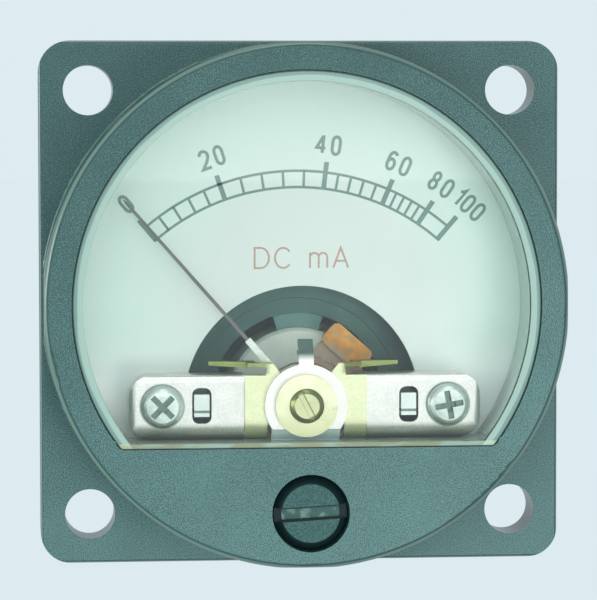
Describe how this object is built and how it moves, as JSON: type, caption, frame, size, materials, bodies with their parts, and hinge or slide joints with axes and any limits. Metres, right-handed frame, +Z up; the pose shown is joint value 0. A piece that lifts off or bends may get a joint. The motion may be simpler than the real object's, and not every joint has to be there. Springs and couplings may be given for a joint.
{
  "type": "analog panel meter",
  "caption": "Square-flanged moving-coil panel meter with a round bezel, D-shaped clear window, printed dial, pointer and front zero adjuster.",
  "frame": {"origin": "centre of the flange's panel face, on the barrel's axis", "axes": "+Z up the dial, +X to the reader's right, front towards -Y, barrel and terminals towards +Y"},
  "size_m": [0.045, 0.0399, 0.045],
  "materials": {
    "case_plastic": "fine moulded texture, dark grey green",
    "barrel_plastic": "moulded, satin black",
    "clear_acrylic": "polished, clear",
    "dial_enamel": "satin white enamel",
    "soft_iron": "dark phosphate",
    "magnet_alloy": "ground, pale grey",
    "frame_plastic": "moulded, matt black",
    "nickel_steel": "satin nickel plate",
    "brass_sheet": "bright rolled brass",
    "brass_turned": "turned brass",
    "tin_plate": "matt tin plate",
    "spring_bronze": "dark phosphor bronze",
    "ruby": "polished synthetic ruby",
    "pointer_paint": "grey painted aluminium",
    "light_alloy": "bright aluminium",
    "copper_wire": "enamelled copper wire",
    "manganin_wire": "enamelled resistance wire",
    "bobbin_board": "laminate board",
    "pivot_steel": "polished hard steel"
  },
  "bodies": {
    "case": {"front_bezel": "case_plastic", "window": "clear_acrylic", "dial_plate": "dial_enamel", "rear_housing": "barrel_plastic", "yoke_ring": "soft_iron", "core_magnet": "magnet_alloy", "movement_frame": "frame_plastic", "front_bridge": "nickel_steel", "bridge_saddle": "brass_sheet", "bridge_post_left": "nickel_steel", "bridge_post_right": "nickel_steel", "bridge_screw_left": "nickel_steel", "bridge_screw_right": "nickel_steel", "front_jewel_screw": "brass_turned", "front_jewel": "ruby", "jewel_nut": "brass_turned", "rear_jewel_screw": "brass_turned", "rear_jewel": "ruby", "rear_lock_nut": "brass_turned", "rear_hairspring": "spring_bronze", "shunt_bobbin": "bobbin_board", "shunt_winding": "manganin_wire", "terminal_stud_plus": "brass_turned", "terminal_stud_minus": "brass_turned", "terminal_lug_plus": "tin_plate", "terminal_lug_minus": "tin_plate", "terminal_washer_plus": "nickel_steel", "terminal_washer_minus": "nickel_steel", "terminal_nut_plus": "brass_turned", "terminal_nut_minus": "brass_turned"},
    "adjuster": {"zero_adjuster": "case_plastic", "adjuster_clip": "nickel_steel"},
    "lever": {"zero_lever": "tin_plate", "front_hairspring": "spring_bronze"},
    "moving_coil": {"pointer": "pointer_paint", "pointer_boss": "light_alloy", "balance_weights": "brass_turned", "coil_former": "light_alloy", "coil_winding": "copper_wire", "front_pivot": "pivot_steel", "rear_pivot": "pivot_steel"}
  },
  "joints": [
    {"name": "zero_adjuster_turn", "type": "hinge", "parent": "case", "child": "adjuster", "pos_m": [0.0002, 0, -0.01755], "axis": [0, 1, 0], "range_deg": [-45, 45]},
    {"name": "zero_lever_swing", "type": "hinge", "parent": "case", "child": "lever", "pos_m": [0, 0, -0.00857], "axis": [0, 1, 0], "range_deg": [-4, 4]},
    {"name": "pointer_deflection", "type": "hinge", "parent": "lever", "child": "moving_coil", "pos_m": [0, 0, -0.00857], "axis": [0, 1, 0], "range_deg": [0, 84], "stiffness_Nm_per_rad": 0.000012}
  ],
  "couplings": [
    {"joint": "zero_lever_swing", "follows": "zero_adjuster_turn", "ratio": -0.086}
  ]
}
